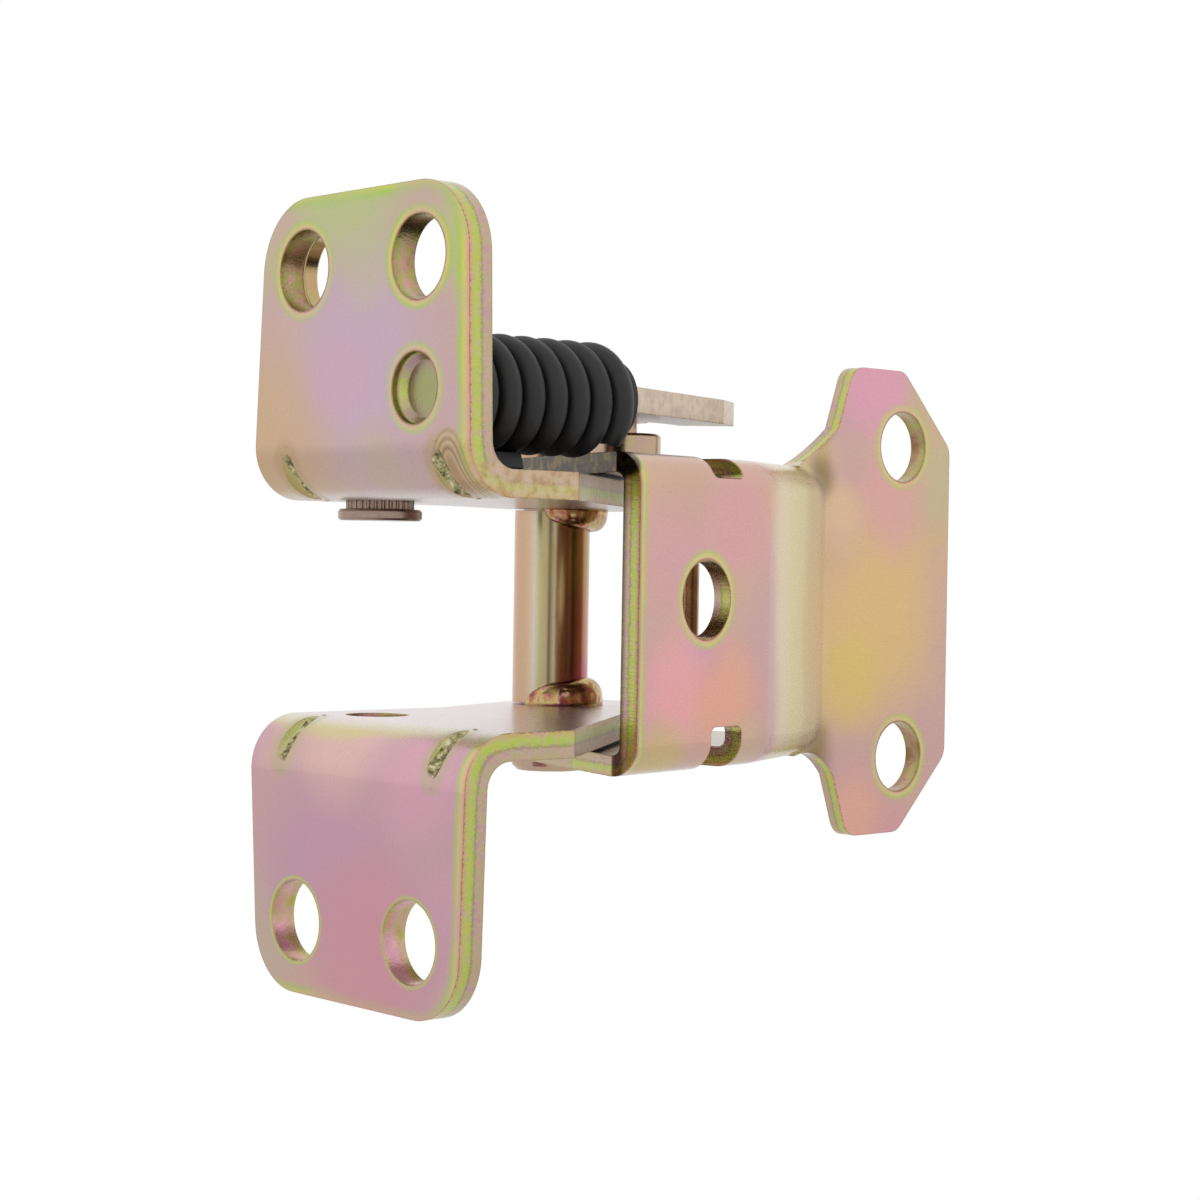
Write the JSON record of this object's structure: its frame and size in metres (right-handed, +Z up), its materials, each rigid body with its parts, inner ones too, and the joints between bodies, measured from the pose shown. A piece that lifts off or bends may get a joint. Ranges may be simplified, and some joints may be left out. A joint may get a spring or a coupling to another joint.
{
  "type": "car door hinge",
  "caption": "Pressed steel door hinge: bent pillar brackets joined by a welded pivot tube, a channel door bracket on a through pin, and a spring loaded check lever.",
  "frame": {"origin": "middle of the pillar bolt pattern, on the face of the plates that meets the pillar", "axes": "+X from the pillar face into the part, +Z up along the hinge pin, +Y towards the hinge pin side"},
  "size_m": [0.1263, 0.0645, 0.1174],
  "materials": {
    "pillar_steel": "yellow passivated zinc on stamped steel",
    "door_steel": "yellow passivated zinc on stamped steel",
    "turned_steel": "yellow passivated zinc on turned steel",
    "weld_steel": "plated weld bead",
    "bush_lining": "wrapped steel-backed bush",
    "spring_steel": "matt black coated spring wire",
    "seat_plastic": "moulded black plastic"
  },
  "bodies": {
    "pillar": {"pillar_bracket_upper": "pillar_steel", "pillar_bracket_lower": "pillar_steel", "bolt_collar": "turned_steel", "pivot_tube": "turned_steel", "tube_weld_upper": "weld_steel", "tube_weld_lower": "weld_steel", "pin_bush_upper": "bush_lining", "pin_bush_lower": "bush_lining", "lever_stud": "turned_steel", "check_spring": "spring_steel"},
    "door": {"door_bracket": "door_steel", "channel_post": "turned_steel", "hinge_pin": "turned_steel", "roller_pin": "turned_steel"},
    "lever": {"check_lever": "door_steel", "spring_seat": "seat_plastic"},
    "roller": {"check_roller": "turned_steel"}
  },
  "joints": [
    {"name": "door_swing", "type": "hinge", "parent": "pillar", "child": "door", "pos_m": [0.06, 0.0259, 0], "axis": [0, 0, 1], "range_deg": [0, 70]},
    {"name": "lever_rock", "type": "hinge", "parent": "pillar", "child": "lever", "pos_m": [0.0157, 0.01505, 0.0303], "axis": [0, 0, 1], "range_deg": [-6, 0], "stiffness_Nm_per_rad": 5, "springref_deg": 5.73, "deforming": ["check_spring"]},
    {"name": "roller_spin", "type": "hinge", "parent": "door", "child": "roller", "pos_m": [0.06, 0.0084, 0.0297], "axis": [0, 0, 1], "continuous": true}
  ]
}
